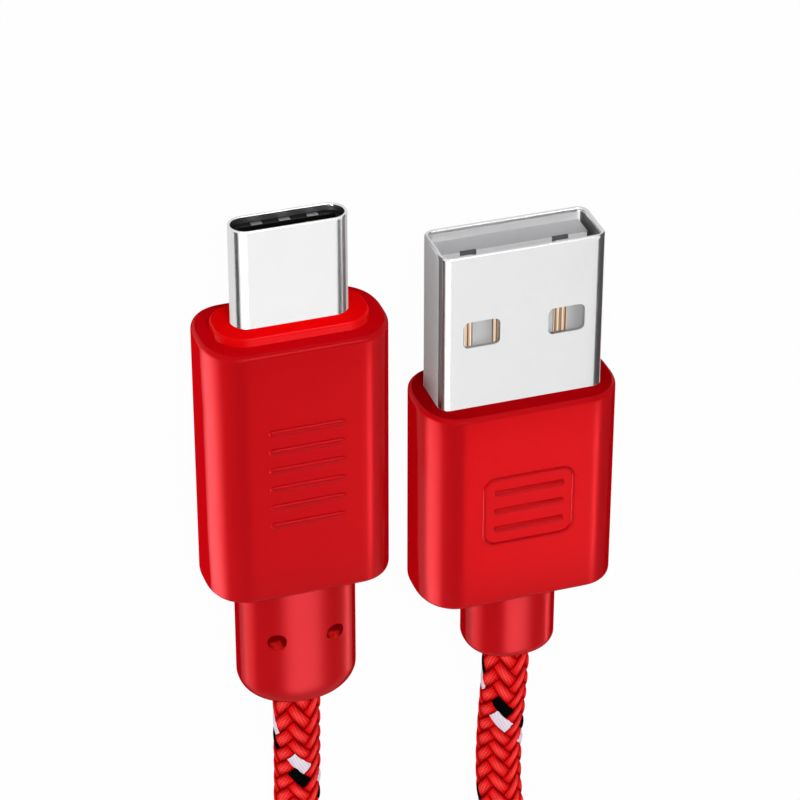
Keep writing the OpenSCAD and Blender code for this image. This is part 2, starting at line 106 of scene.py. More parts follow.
def new_object(name, data):
    thing = bpy.data.objects.new(name, data)
    bpy.context.scene.collection.objects.link(thing)
    return thing


def make_camera():
    yaw, tilt = math.radians(CAMERA_YAW), math.radians(CAMERA_TILT)
    towards = Vector((math.sin(yaw) * math.cos(tilt), -math.sin(tilt), math.cos(yaw) * math.cos(tilt)))
    right = Vector((0, -1, 0)).cross(towards).normalized()
    up = towards.cross(right)
    data = bpy.data.cameras.new("camera")
    data.sensor_width = SENSOR_WIDTH
    data.lens = FOCAL_PX / IMAGE_SIDE * data.sensor_width
    data.clip_start, data.clip_end = CLIP
    camera = new_object("camera", data)
    turn = Matrix((right, up, towards)).transposed()
    camera.matrix_world = Matrix.Translation((TARGET + towards * CAMERA_DISTANCE) * MM) @ turn.to_4x4()
    bpy.context.scene.camera = camera
    return camera


camera = make_camera()

# ------ node helpers
class Tree:
    """The nodes of a material or of the world, with short calls for sums on them."""

    def __init__(self, name, kind=bpy.data.materials, shader="Principled BSDF"):
        self.owner = kind.new(name)
        self.owner.use_nodes = True
        self.nodes = self.owner.node_tree.nodes
        self.links = self.owner.node_tree.links
        self.shader = self.nodes[shader]

    def set(self, **sockets):
        for name, value in sockets.items():
            self.put(value, self.shader.inputs[name.replace("_", " ")])

    def put(self, value, socket):
        if isinstance(value, bpy.types.NodeSocket):
            self.links.new(value, socket)
        else:
            socket.default_value = value

    def math(self, operation, *values):
        node = self.nodes.new("ShaderNodeMath")
        node.operation = operation
        for value, socket in zip(values, node.inputs):
            self.put(value, socket)
        return node.outputs[0]

    def sums(self):
        """Calls for products, sums and differences."""
        return [partial(self.math, name) for name in ("MULTIPLY", "ADD", "SUBTRACT")]

    def mix(self, factor, first, second):
        node = self.nodes.new("ShaderNodeMix")
        node.data_type = "RGBA"
        self.put(factor, node.inputs["Factor"])
        self.put(first, node.inputs["A"])
        self.put(second, node.inputs["B"])
        return node.outputs["Result"]

    def spread(self, value, low, high, to_low, to_high):
        node = self.nodes.new("ShaderNodeMapRange")
        for item, socket in zip((value, low, high, to_low, to_high), node.inputs):
            self.put(item, socket)
        return node.outputs[0]

    def place(self, scale=(1, 1, 1)):
        coordinate = self.nodes.new("ShaderNodeTexCoord")
        mapping = self.nodes.new("ShaderNodeMapping")
        mapping.inputs["Scale"].default_value = scale
        self.links.new(coordinate.outputs["Object"], mapping.inputs["Vector"])
        return mapping.outputs[0]

    def axes(self, scale=(1, 1, 1)):
        """The object's own x, y and z, times scale."""
        split = self.nodes.new("ShaderNodeSeparateXYZ")
        self.links.new(self.place(scale), split.inputs[0])
        return tuple(split.outputs)

    def vary(self, noise, low, high, reach=0.2):
        """Noise, most of which lies within reach of 0.5, spread from low to high."""
        return self.spread(noise, 0.5 - reach, 0.5 + reach, low, high)

    def noise(self, cell, detail=2.0, stretch=(1, 1, 1)):
        """Noise whose cells are about cell millimetres across."""
        node = self.nodes.new("ShaderNodeTexNoise")
        node.inputs["Scale"].default_value = 1 / (cell * MM)
        node.inputs["Detail"].default_value = detail
        self.links.new(self.place(stretch), node.inputs["Vector"])
        return node.outputs[0]

    def bump(self, height, depth, strength=1.0):
        node = self.nodes.new("ShaderNodeBump")
        node.inputs["Distance"].default_value = depth * MM
        node.inputs["Strength"].default_value = strength
        self.links.new(height, node.inputs["Height"])
        self.links.new(node.outputs[0], self.shader.inputs["Normal"])


def shade(colour, factor):
    return tuple(min(1.0, c * factor) for c in colour[:3]) + (1.0,)


CLOUD = 6.0  # mm across the flow clouds of a moulding
CLOUD_STRETCH = (1, 0.4, 1)
CLOUD_SHADE = 0.04
GRAIN = 0.4  # mm across the grain of its surface
GRAIN_DEPTH = 0.0006
TURNED_AWAY = (0.45, 0.66)  # Facing values between which an edge's gloss changes


def moulded(name, colour, roughness, specular, tint=(1, 1, 1), edge=1.0):
    """Moulded plastic: faint flow clouds in the colour and a fine grain in the gloss and the normal.
    An edge under 1 lowers the gloss where the surface turns away."""
    tree = Tree(name)
    clouds = tree.noise(CLOUD, stretch=CLOUD_STRETCH)
    tree.set(
        Base_Color=tree.mix(clouds, shade(colour, 1 - CLOUD_SHADE), shade(colour, 1 + CLOUD_SHADE)),
        Roughness=tree.vary(tree.noise(GRAIN * 4), roughness - 0.01, roughness + 0.02, 0.3),
        Specular_IOR_Level=specular,
        Specular_Tint=(*tint, 1),
    )
    if edge < 1:
        turned = tree.nodes.new("ShaderNodeLayerWeight").outputs["Facing"]
        tree.set(Specular_IOR_Level=tree.spread(turned, *TURNED_AWAY, specular, specular * edge))
    tree.bump(tree.noise(GRAIN, 0.0), GRAIN_DEPTH)
    return tree.owner


HAIR = 0.05  # mm across a metal's hair lines
HAIR_STRETCH = (1, 0.04, 1)
HAIR_DEPTH = 0.0006
METAL_SHADE = 0.03


def metal(name, colour, roughness):
    """Rolled metal: hair-fine lines along Y in its gloss."""
    tree = Tree(name)
    lines = tree.noise(HAIR, 3.0, HAIR_STRETCH)
    tree.set(
        Base_Color=tree.mix(tree.noise(3.0), shade(colour, 1 - METAL_SHADE), shade(colour, 1.0)),
        Roughness=tree.vary(lines, roughness * 0.8, roughness * 1.25),
        Metallic=1.0,
    )
    tree.bump(lines, HAIR_DEPTH)
    return tree.owner


RED = (0.44, 0.0015, 0.004)
LEDGE_RED = (0.52, 0.001, 0.004)
BRIGHT_RED = (0.76, 0.001, 0.002)
RED_GLOSS = (1.0, 0.22, 0.24)  # colour of the reds' highlights
red_plastic = moulded("red_plastic", RED, 0.3, 0.15, RED_GLOSS, edge=0.0)
relief_plastic = moulded("relief_plastic", RED, 0.3, 0.15, RED_GLOSS, edge=0.0)
ledge_plastic = moulded("ledge_plastic", LEDGE_RED, 0.6, 0.0)
# Ledge red painted darker as the shade that the host's shell casts round its base.
ledge_painted_shade = moulded("host_ledge_painted_shade", shade(LEDGE_RED, 0.62), 0.6, 0.0)
bright_plastic = moulded("bright_plastic", BRIGHT_RED, 0.6, 0.0)
collar_plastic = moulded("collar_side", shade(BRIGHT_RED, 0.95), 0.3, 0.15, RED_GLOSS, edge=0.0)
steel = metal("polished_steel", (0.83, 0.83, 0.835), 0.19)
bright_steel = metal("bright_steel", (0.90, 0.90, 0.90), 0.19)
satin_steel = metal("satin_steel", (0.80, 0.80, 0.80), 0.5)
# Steel painted dark as the shade inside the device shell's mouth.
lining_painted_shade = metal("lining_painted_shade", (0.10, 0.10, 0.105), 0.5)
# Steel painted dark as the shade on the host shell's far inner wall.
far_wall_painted_shade = metal("far_wall_painted_shade", (0.22, 0.22, 0.22), 0.4)
inner_steel = metal("spring_steel", (0.42, 0.42, 0.43), 0.35)
can_metal = metal("can_metal", (0.72, 0.72, 0.73), 0.3)

# Where the tongue is painted black as the shade in its outer contact grooves.
GROOVE_AT = 3.35  # outer contact grooves, from the middle of the tongue
GROOVE_W = 1.2
GROOVE_L = 0.8
GROOVE_DEPTH = 0.14


def tongue_moulding():
    """Grey moulding with painted shade: black where its two outer contact grooves meet its front edge."""
    low, high = node_box("host_tongue")
    tree = Tree("tongue_plastic")
    m = tree.math
    times, _, minus = tree.sums()
    x, y, z = tree.axes()
    side = m("ABSOLUTE", minus(x, (low[0] + high[0]) / 2 * MM))
    painted_groove_shade = m("LESS_THAN", m("ABSOLUTE", minus(side, GROOVE_AT * MM)), GROOVE_W / 2 * MM)
    painted_groove_shade = times(painted_groove_shade, m("GREATER_THAN", z, (high[2] - GROOVE_DEPTH) * MM))
    painted_groove_shade = times(painted_groove_shade, m("LESS_THAN", y, (low[1] + GROOVE_L) * MM))
    grey = tree.mix(tree.noise(3.0), (0.40, 0.40, 0.41, 1), (0.44, 0.44, 0.45, 1))
    tree.set(
        Base_Color=tree.mix(painted_groove_shade, grey, (0.02, 0.02, 0.02, 1)),
        Roughness=tree.vary(tree.noise(0.2), 0.46, 0.55),
        Specular_IOR_Level=0.3,
    )
    tree.bump(tree.noise(0.06, 3.0), 0.003)
    return tree.owner


tongue_plastic = tongue_moulding()
black_plastic = moulded("black_plastic", (0.004, 0.004, 0.004), 0.45, 0.12)
ivory_plastic = moulded("inner_moulding", (0.78, 0.75, 0.66), 0.55, 0.3)
wire_plastic = moulded("wire_jacket", (0.5, 0.03, 0.03), 0.5, 0.3)
board_mask = moulded("board_mask", (0.02, 0.16, 0.05), 0.35, 0.4)
resistor_body = moulded("resistor_body", (0.02, 0.02, 0.02), 0.5, 0.3)
capacitor_body = moulded("capacitor_body", (0.42, 0.28, 0.14), 0.5, 0.3)

# Pale and dark gold are painted light and shade on the contacts' fine ridges.
GOLD_SHADED = (0.16, 0.09, 0.05, 1)
GOLD_MIDDLE = (0.56, 0.37, 0.23, 1)
GOLD_LIT = (0.78, 0.68, 0.58, 1)
GOLD_LINES = ((0.36, 0.0, 0.65), (0.15, 1.0, 0.35))  # pitch in mm, phase and share of two sets of lines


def gold_plate():
    """Gold with fine drawn lines along each contact, a bump whose light and shade are also painted in as pale
    and dark lines.
    """
    tree = Tree("gold_plate")
    m = tree.math
    times, plus, _ = tree.sums()
    x = tree.axes((1 / MM,) * 3)[0]
    wide, fine = (
        times(m("SINE", plus(times(x, 2 * math.pi / pitch), phase)), share)
        for pitch, phase, share in GOLD_LINES
    )
    level = tree.spread(plus(wide, fine), -1.0, 1.0, 0.0, 1.0)
    ramp = tree.nodes.new("ShaderNodeValToRGB")
    tree.links.new(level, ramp.inputs[0])
    stops = ramp.color_ramp.elements
    stops[0].color = GOLD_SHADED
    stops[1].color = GOLD_LIT
    stops.new(0.5).color = GOLD_MIDDLE
    tree.set(Base_Color=ramp.outputs[0], Roughness=tree.spread(level, 0.0, 1.0, 0.45, 0.3), Metallic=0.85)
    tree.bump(level, 0.01)
    return tree.owner


gold = gold_plate()

# ------ mesh helpers
WELD = 1e-7  # metres, under which points are one
SHARP = 40  # least angle of an edge that stays sharp
CUT_SHARP = 35  # the same on a piece with holes cut into it
FRONT = -0.95  # greatest y of the normal of a face at the mating end


def add_piece(name, verts, faces, material, merge=True):
    """Object from points in millimetres, smooth but for its sharp edges."""
    mesh = bpy.data.meshes.new(name)
    mesh.from_pydata([tuple(MM * float(c) for c in v) for v in verts], [], faces)
    work = bmesh.new()
    work.from_mesh(mesh)
    if merge:
        bmesh.ops.remove_doubles(work, verts=work.verts, dist=WELD)
        bmesh.ops.dissolve_degenerate(work, edges=work.edges, dist=WELD / 10)
    bmesh.ops.recalc_face_normals(work, faces=work.faces)
    work.to_mesh(mesh)
    work.free()
    mesh.materials.append(material)
    piece = new_object(name, mesh)
    smooth(piece)
    return piece


def smooth(piece, degrees=SHARP):
    for face in piece.data.polygons:
        face.use_smooth = True
    piece.data.set_sharp_from_angle(angle=math.radians(degrees))


def bent(wave, power):
    """Sines or cosines of an oval that a power over 2 fills out."""
    return np.sign(wave) * np.abs(wave) ** (2 / power)


def outline(width, thick, radius, corner=12, flat=3, drop=None, power=2):
    """(x, z) points round a rectangle with round corners, as many for any size.
    A corner is radius wide and drop high, and a power over 2 fills it out."""
    drop = drop or radius
    corners = []
    for quarter, (sx, sz) in enumerate(((1, 1), (-1, 1), (-1, -1), (1, -1))):
        turn = np.radians(90 * (quarter + np.arange(corner + 1) / corner))
        x = sx * (width / 2 - radius) + radius * bent(np.cos(turn), power)
        z = sz * (thick / 2 - drop) + drop * bent(np.sin(turn), power)
        corners.append(np.stack((x, z), 1))
    points = []
    for arc, following in zip(corners, corners[1:] + corners[:1]):
        points += [*arc, *(arc[-1] + (following[0] - arc[-1]) * k / flat for k in range(1, flat))]
    return np.array(points)


def loft(rings, close_start=False, close_end=False, closed_loop=False):
    """Vertices and faces through rings, each a list of points of equal count."""
    count = len(rings[0])
    verts = [tuple(p) for ring in rings for p in ring]
    faces = []
    pairs = [(i, i + 1) for i in range(len(rings) - 1)]
    if closed_loop:
        pairs.append((len(rings) - 1, 0))
    for i, j in pairs:
        for k in range(count):
            n = (k + 1) % count
            faces.append((i * count + k, i * count + n, j * count + n, j * count + k))
    if close_start:
        faces.append(tuple(range(count))[::-1])
    if close_end:
        faces.append(tuple((len(rings) - 1) * count + k for k in range(count)))
    return verts, faces


def closed(rings):
    return loft(rings, close_start=True, close_end=True)


def ring_at(points, x, y, z):
    return [(x + px, y, z + pz) for px, pz in points]


def square_to(step):
    """Unit normal of a step in a plane."""
    return np.array((step[1], -step[0])) / np.hypot(*step)


def rounding(radius, steps=6):
    """Pairs of (inset, set back) from a face round an outside edge onto a wall."""
    return [
        (radius * (1 - math.sin(a)), radius * (1 - math.cos(a)))
        for a in (math.radians(90 * k / steps) for k in range(steps + 1))
    ]


def front_finish(piece, material):
    """A material of its own for the faces that look out at the mating end."""
    piece.data.materials.append(material)
    for face in piece.data.polygons:
        face.material_index = int(face.normal.y < FRONT)
    return piece


def cut(piece, cutters):
    """Boolean difference, applied, with the cutters removed."""
    for cutter in cutters:
        change = piece.modifiers.new("cut", "BOOLEAN")
        change.operation = "DIFFERENCE"
        change.solver = "EXACT"
        change.object = cutter
    graph = bpy.context.evaluated_depsgraph_get()
    mesh = bpy.data.meshes.new_from_object(piece.evaluated_get(graph))
    piece.modifiers.clear()
    old = piece.data
    piece.data = mesh
    bpy.data.meshes.remove(old)
    for cutter in cutters:
        bpy.data.objects.remove(cutter)
    smooth(piece, CUT_SHARP)


def join(pieces):
    """One object from several."""
    base = pieces[0]
    work = bmesh.new()
    for piece in pieces:
        work.from_mesh(piece.data)
    work.to_mesh(base.data)
    work.free()
    for piece in pieces[1:]:
        bpy.data.objects.remove(piece)
    smooth(base)
    return base


# ------ steel shells
LIP_STEPS = 8  # faces round the edge of a shell's mouth
# Inner faces past this get the far lining, painted as in shade.
FAR_WALL = 0.6  # least x of the normal of a shell's inner wall at its low x


def shell(name, node, outer_r, sheet, metal, lining, far_painted_shade):
    """Tube of sheet metal with a rounded mouth, open from its mouth to its root.
    The far lining is the inside of the wall at its low x, steel painted dark as the shade there."""
    low, high = node_box(node)
    x, width, thick = (low[0] + high[0]) / 2, high[0] - low[0], high[2] - low[2]
    outer = lambda inset: outline(width - 2 * inset, thick - 2 * inset, max(outer_r - inset, 0.05))
    rings = [ring_at(outer(0), x, high[1], plug_z), ring_at(outer(0), x, low[1] + sheet, plug_z)]
    half = sheet / 2
    for k in range(LIP_STEPS + 1):
        a = math.pi * k / LIP_STEPS
        rings.append(ring_at(outer(half * (1 - math.cos(a))), x, low[1] + half * (1 - math.sin(a)), plug_z))
    rings.append(ring_at(outer(sheet), x, low[1] + sheet, plug_z))
    rings.append(ring_at(outer(sheet), x, high[1], plug_z))
    piece = add_piece(name, *loft(rings, closed_loop=True), metal)
    piece.data.materials.append(lining)
    piece.data.materials.append(far_painted_shade)
    for face in piece.data.polygons:
        centre = np.array(face.center) / MM
        inward = np.dot((x - centre[0], plug_z - centre[2]), (face.normal[0], face.normal[2])) > 0
        if inward and centre[1] > low[1] + sheet:
            face.material_index = 2 if face.normal[0] > FAR_WALL else 1
    return piece


HOST_SHEET = 0.3
DEVICE_SHEET = 0.2
WINDOW = (2.6, 2.0, 0.4)  # width, length, corner radius
WINDOW_SET = 6.2  # from the shell's mouth to the middle of its windows
WINDOW_PITCH = 6.2
WINDOW_FLARE = 0.07
WINDOW_REACH = 0.8  # depth of the cutter, more than the sheet


def window_cutter(side, face):
    """Cutter for a rounded window through one broad wall, slightly flared at the outer face."""
    x = host_x + side * WINDOW_PITCH / 2
    y = host_shell_low[1] + WINDOW_SET
    top = plug_z + face * size_of("host_shell")[2] / 2
    width, length, radius = WINDOW
    flare = WINDOW_FLARE
    rings = []
    for grow, depth in ((0, WINDOW_REACH), (0, flare), (flare, 0), (2 * flare, -flare)):
        shape = outline(width + grow, length + grow, radius + grow / 2, 8, 2)
        rings.append([(x + px, y + py, top - face * depth) for px, py in shape])
    return add_piece("cutter", *closed(rings), steel)


# The host shell's inner wall at its low x carries painted shade.
host_shell = shell("host_shell_skin", "host_shell", SHELL_R, HOST_SHEET, steel, satin_steel, far_wall_painted_shade)
cut(host_shell, [window_cutter(side, face) for side in (-1, 1) for face in (-1, 1)])
device_r = size_of("device_shell")[2] / 2
# The device shell's whole inside is lined with painted shade.
device_shell = shell(
    "device_shell_skin", "device_shell", device_r, DEVICE_SHEET, bright_steel, lining_painted_shade, lining_painted_shade)

# ------ housings
THROAT = 1.5  # depth to which the moulding's hole is made
BODY_STEPS = 20  # points in each corner of a housing
CORNER_DROP = 3.5  # how far a corner reaches down the side
CORNER_POWER = 2.2  # 2 is a plain oval corner
BACK_FACE = (4, 3, 1.4)  # width, height and corner of the flat in the middle of the back, under the relief


def seat(node, radius, corner=BODY_STEPS):
    """Outline of the hole that holds a node whose corners have a radius."""
    width, _, thick = size_of(node)
    return outline(width + 2 * SEAT, thick + 2 * SEAT, radius + SEAT, corner)


def housing(name, low, high, hole, ledge, x):
    """Red block with softened ends. hole is the outline that it is open to at the front,
    and ledge the material round it. Both housings are as thick as the host's."""
    width, thick = high[0] - low[0], host_t
    body = lambda inset: outline(
        width - 2 * inset, thick - 2 * inset, CORNER_R - inset * 0.6, BODY_STEPS,
        drop=CORNER_DROP - inset, power=CORNER_POWER)
    rings = [ring_at(hole, x, low[1] + THROAT, plug_z), ring_at(hole, x, low[1], plug_z)]
    for inset, back in rounding(EDGE_R):
        rings.append(ring_at(body(inset), x, low[1] + back, plug_z))
    for share in (0.25, 0.5, 0.75):
        rings.append(ring_at(body(0), x, low[1] + (high[1] - low[1]) * share, plug_z))
    for inset, back in reversed(rounding(EDGE_R)):
        rings.append(ring_at(body(inset), x, high[1] - back, plug_z))
    rings.append(ring_at(outline(*BACK_FACE, BODY_STEPS), x, high[1], plug_z))
    return front_finish(add_piece(name, *loft(rings, close_end=True), red_plastic), ledge)


# The host's ledge carries painted shade.
host_housing = housing(
    "host_housing_skin", host_low, host_high, seat("host_shell", SHELL_R), ledge_painted_shade, host_x)
device_housing = housing(
    "device_housing_skin", device_low, device_high, seat("device_collar", COLLAR_R), ledge_plastic, device_x)
collar_w, _, collar_t = size_of("device_collar")
COLLAR_EDGE = 0.16


def make_collar():
    """Bright ring round the oval shell, standing a little out of the housing."""
    hole = seat("device_shell", device_r, 12)
    body = lambda inset: outline(collar_w - 2 * inset, collar_t - 2 * inset, COLLAR_R - inset * 0.6)
    front, back = collar_low[1], collar_high[1]
    rings = [ring_at(hole, device_x, back, plug_z), ring_at(hole, device_x, front, plug_z)]
    for inset, setback in rounding(COLLAR_EDGE):
        rings.append(ring_at(body(inset), device_x, front + setback, plug_z))
    rings.append(ring_at(body(0), device_x, back, plug_z))
    piece = add_piece("device_collar_skin", *loft(rings, closed_loop=True), collar_plastic)
    return front_finish(piece, bright_plastic)


collar = make_collar()


def grip_rib(x, y, length, width):
    """Low round-ended bar standing on a housing's face."""
    down, around, radius = 12, 24, width / 2
    rings = []
    for i in range(down + 1):
        lift = math.radians(90 * (1 - i / down))
        reach, height = radius * math.cos(lift), host_t + grip_h * math.sin(lift)
        ring = []
        for k in range(around):
            a = 2 * math.pi * k / around
            shift = (length / 2 - radius) * (1 if math.cos(a) >= 0 else -1)
            ring.append((x + shift + reach * math.cos(a), y + reach * math.sin(a), height))
        rings.append(ring)
    return add_piece("rib", *loft(rings, close_end=True), red_plastic)


def grip_frame(x, y, width, length, line, radius, steps=8):
    """Low round bead along a rectangle with round corners."""
    centre = outline(width - line, length - line, radius, 10, 2)
    count = len(centre)
    rings = []
    for i in range(count):
        normal = square_to(centre[(i + 1) % count] - centre[i - 1])
        ring = []
        for k in range(steps + 1):
            a = math.pi * k / steps
            off = normal * (line / 2) * math.cos(a)
            ring.append((x + centre[i][0] + off[0], y + centre[i][1] + off[1], host_t + grip_h * math.sin(a)))
        rings.append(ring)
    return add_piece("frame_bead", *loft(rings, closed_loop=True), red_plastic)


GRIP_W = 0.5
GRIP_PITCH = 1.5
FRAME_ROOM = 1.2  # room round the host's ribs, and how much wider than long their frame is
FRAME_R = 0.9
RIB_SHORT = 1.6  # how much shorter than their frame's width the ribs are
DEVICE_RIBS = 6
host_mid = (host_low[1] + host_high[1]) / 2
device_mid = (device_low[1] + device_high[1]) / 2
frame_l = 2 * GRIP_PITCH + 3 * GRIP_W + FRAME_ROOM
frame_w = frame_l + FRAME_ROOM
host_ribs = [grip_rib(host_x, host_mid + i * GRIP_PITCH, frame_w - RIB_SHORT, GRIP_W) for i in (-1, 0, 1)]
host_ribs.append(grip_frame(host_x, host_mid, frame_w, frame_l, GRIP_W / 2, FRAME_R))
host_housing = join([host_housing] + host_ribs)
device_ribs = [
    grip_rib(device_x, device_mid + (i - (DEVICE_RIBS - 1) / 2) * GRIP_PITCH, collar_w / 2, GRIP_W)
    for i in range(DEVICE_RIBS)
]
device_housing = join([device_housing] + device_ribs)

# ------ strain reliefs
CORD_D = 3.5
CORD_R = CORD_D / 2
RELIEF_EDGE = 0.4  # rounding of an end at its broad faces
RELIEF_POWER = 2.3  # 2 is a plain oval section
RELIEF_POINTS = 128
RELIEF_OVERLAP = 0.2  # how far a relief reaches into its housing
RELIEF_LIP = 1.0  # depth of an end's hole round the cord
HOST_END_R = 0.7  # rounding of an end at its sides
DEVICE_END_R = 1.6


def relief(name, low, high, x, end_r, lengths=20, steps=16):
    """Oval sleeve whose end is rounded at its sides, and only a little at its faces."""
    width, thick = high[0] - low[0], high[2] - low[2]
    turns = 2 * np.pi * np.arange(RELIEF_POINTS) / RELIEF_POINTS
    oval = bent(np.stack((np.cos(turns), np.sin(turns)), 1), RELIEF_POWER)
    section = oval * (width / 2, thick / 2)
    start, end = low[1] - RELIEF_OVERLAP, high[1]
    rings = []

    def ring(share, y):
        narrow, thin = 1 - 2 * share * end_r / width, 1 - 2 * share * RELIEF_EDGE / thick
        rings.append(ring_at(section * (narrow, thin), x, y, plug_z))

    for share in np.linspace(0, 1, lengths):
        ring(0, start + (end - end_r - start) * share)
    for k in range(1, steps + 1):
        a = math.radians(90 * k / steps)
        ring(1 - math.cos(a), end - end_r * (1 - math.sin(a)))
    inner = section / np.hypot(*section.T)[:, None] * CORD_R
    rings.append(ring_at(inner, x, end, plug_z))
    rings.append(ring_at(inner, x, end - RELIEF_LIP, plug_z))
    return add_piece(name, *closed(rings), relief_plastic)


HOLE_R = 0.65
HOLE_PITCH = 4.3
HOLE_SET = 4.5  # from the housing to the middle of the holes
HOLE_DEPTH = 1.1
# The holes' walls carry painted shade that gives way to painted light past this.
HOLE_PAINTED_LIGHT = 0.42  # from a hole's middle to where its wall gets lighter
# Radius and depth from a hole's floor, up over its soft rim and out of the sleeve.
HOLE_PROFILE = (
    (0.02, HOLE_DEPTH), (0.5, HOLE_DEPTH), (0.62, HOLE_DEPTH - 0.1), (HOLE_R, HOLE_DEPTH - 0.3), (HOLE_R, 0.35),
    (0.67, 0.2), (0.71, 0.1), (0.78, 0.03), (0.9, -0.02), (1.3, -0.3), (1.3, -2.0),
)


def hole_cutter(x, y, face, surface, around=48):
    """Blind hole with a soft rim."""
    turns = [2 * math.pi * k / around for k in range(around)]
    rings = [
        [(x + radius * math.cos(a), y + radius * math.sin(a), surface - face * depth) for a in turns]
        for radius, depth in HOLE_PROFILE
    ]
    return add_piece("hole", *closed(rings), relief_plastic)


host_boot = relief("host_boot_skin", host_boot_low, host_boot_high, host_x, HOST_END_R)
device_boot = relief("device_boot_skin", device_boot_low, device_boot_high, device_x, DEVICE_END_R)
hole_y = device_high[1] + HOLE_SET


def painted_hole_shade():
    """Red with painted shade and light: dark at the back of the holes and light on the wall that faces the
    plug.
    """
    tree = Tree("relief_hole_painted_shade")
    along = tree.math("ADD", tree.axes()[1], tree.vary(tree.noise(0.3), -0.05 * MM, 0.05 * MM))
    lit = tree.spread(along, (hole_y + HOLE_PAINTED_LIGHT) * MM, (hole_y + HOLE_R) * MM, 0, 1)
    tree.set(
        Base_Color=tree.mix(lit, shade(RED, 0.45), (0.8, 0.015, 0.012, 1)),
        Roughness=tree.vary(tree.noise(1.0), 0.68, 0.72, 0.3),
        Specular_IOR_Level=0.0,
    )
    return tree.owner


cut(device_boot, [
    hole_cutter(device_x + side * HOLE_PITCH / 2, hole_y, face, surface)
    for side in (-1, 1) for face, surface in ((-1, device_boot_low[2]), (1, device_boot_high[2]))
])
hole_floor = size_of("device_boot")[2] / 2 - HOLE_DEPTH  # from the middle of the sleeve
device_boot.data.materials.append(painted_hole_shade())
for face in device_boot.data.polygons:
    centre = np.array(face.center) / MM
    reach = math.hypot(abs(centre[0] - device_x) - HOLE_PITCH / 2, centre[1] - hole_y)
    if reach < HOLE_R + 0.01 and abs(centre[2] - plug_z) > hole_floor - 0.1:
        face.material_index = 1

# ------ the cord's line
FOLD_R = 10.8  # innermost bend of the hank
TURN_STEP = 4.2  # from one turn to the next beside it
LAYER_STEP = 4.0  # from one layer to the next above it
WAIST_IN = 3.0  # how far the strap draws the turns in
WAIST_FLAT = 0.2  # share of a straight run that lies under the strap
HUMP = 1.2  # how far the strap lifts them
HANK_Y = 61.0  # where the hank's straight runs start
HANK_TURNS = 4.75
HANK_STEPS = 288  # points in one turn
CORD_STEP = 0.5  # mm between points of the finished line
TURNS_BACK = (1.125, 2.125, 3.125)  # turns at which the spiral reverses and climbs
RUN_SHARE = 0.25  # share of a turn that one straight run takes
CLIMB_SHARE = 0.6  # share of a run on which the cord climbs a layer
CORD_L = 1000.0
LEADS_L = 97.6  # the two leads together
RUN_L = ((CORD_L - LEADS_L) / HANK_TURNS - 2 * math.pi * (FOLD_R + TURN_STEP * 0.6)) / 2


def ease(s):
    c = min(1.0, max(0.0, s))
    return c * c * (3 - 2 * c)


def waist(y):
    return 1 - ease((abs(y) / (RUN_L / 2) - WAIST_FLAT) / (1 - WAIST_FLAT))


def spiral_r(t):
    """The spiral runs in to its first turn back, out to the second, in to the third and out again."""
    first, second, third = TURNS_BACK
    return FOLD_R + abs(t - (first if t < second else third)) * TURN_STEP


def hank_point(t):
    """Point of the hank at t turns: two straight runs and two bends in each."""
    part = t - math.floor(t)
    half, along = divmod(part / RUN_SHARE, 2)
    side = 1 if half else -1
    r = spiral_r(t)
    layer = sum(ease((t - at) / (RUN_SHARE * CLIMB_SHARE) + 0.5) for at in TURNS_BACK)
    if along < 1:
        y = -side * (along - 0.5) * RUN_L
        drawn = waist(y)
        x = side * (r - WAIST_IN * drawn)
    else:
        a = math.pi * (along - 1)
        drawn = 0
        x = side * r * math.cos(a)
        y = -side * (RUN_L / 2 + r * math.sin(a))
    return (x, HANK_Y + RUN_L / 2 + y, CORD_R + layer * LAYER_STEP + HUMP * drawn)


host_exit = (host_x, host_boot_high[1], plug_z)
device_exit = (device_x, device_boot_high[1], plug_z)
hank_in, hank_out = hank_point(0), hank_point(HANK_TURNS)
host_route = [
    host_exit, (host_x, host_exit[1] + CORD_D, plug_z - 0.2), (-8, 28, 2.2), (-8.1, 34, CORD_R),
    (-9, 40, CORD_R), (-11.4, 46, CORD_R), (-14, 51, CORD_R), (hank_in[0] + 0.1, HANK_Y - 5, CORD_R), hank_in,
]
device_route = [
    device_exit, (device_x, device_exit[1] + CORD_D, plug_z - 0.2), (8, 28, 2.2), (8, 33, CORD_R),
    (8.8, 38, 2.6), (10.7, 43, 5), (13.2, 48, 8.4), (15.6, 52, 11.4), (17.1, HANK_Y - 5, 13.3),
    (hank_out[0], hank_out[1] - 1.5, hank_out[2]), hank_out,
]


def curve_through(points):
    """Centripetal Catmull-Rom curve through points."""
    p = [np.array(q, float) for q in points]
    p = [2 * p[0] - p[1]] + p + [2 * p[-1] - p[-2]]
    out = []
    for i in range(1, len(p) - 2):
        knots = [0.0]
        for here, there in zip(p[i - 1:i + 2], p[i:i + 3]):
            knots.append(knots[-1] + math.sqrt(np.linalg.norm(there - here)))
        count = max(2, int(np.linalg.norm(p[i + 1] - p[i]) / CORD_STEP))
        for t in np.linspace(knots[1], knots[2], count, endpoint=False):
            level = p[i - 1:i + 3]
            for spans in (((0, 1), (1, 2), (2, 3)), ((0, 2), (1, 3)), ((1, 2),)):
                level = [
                    ((knots[b] - t) * level[k] + (t - knots[a]) * level[k + 1]) / (knots[b] - knots[a])
                    for k, (a, b) in enumerate(spans)
                ]
            out.append(level[0])
    return out


def run_along(line):
    return np.concatenate(([0], np.cumsum(np.linalg.norm(np.diff(line, axis=0), axis=1))))


def between(at, run, values):
    return np.stack([np.interp(at, run, values[:, k]) for k in range(3)], 1)


def spaced(line, step):
    """The same line at even steps, ends kept, and its length."""
    line = np.array(line)
    run = run_along(line)
    at = np.linspace(0, run[-1], int(round(run[-1] / step)) + 1)
    return between(at, run, line), run[-1]


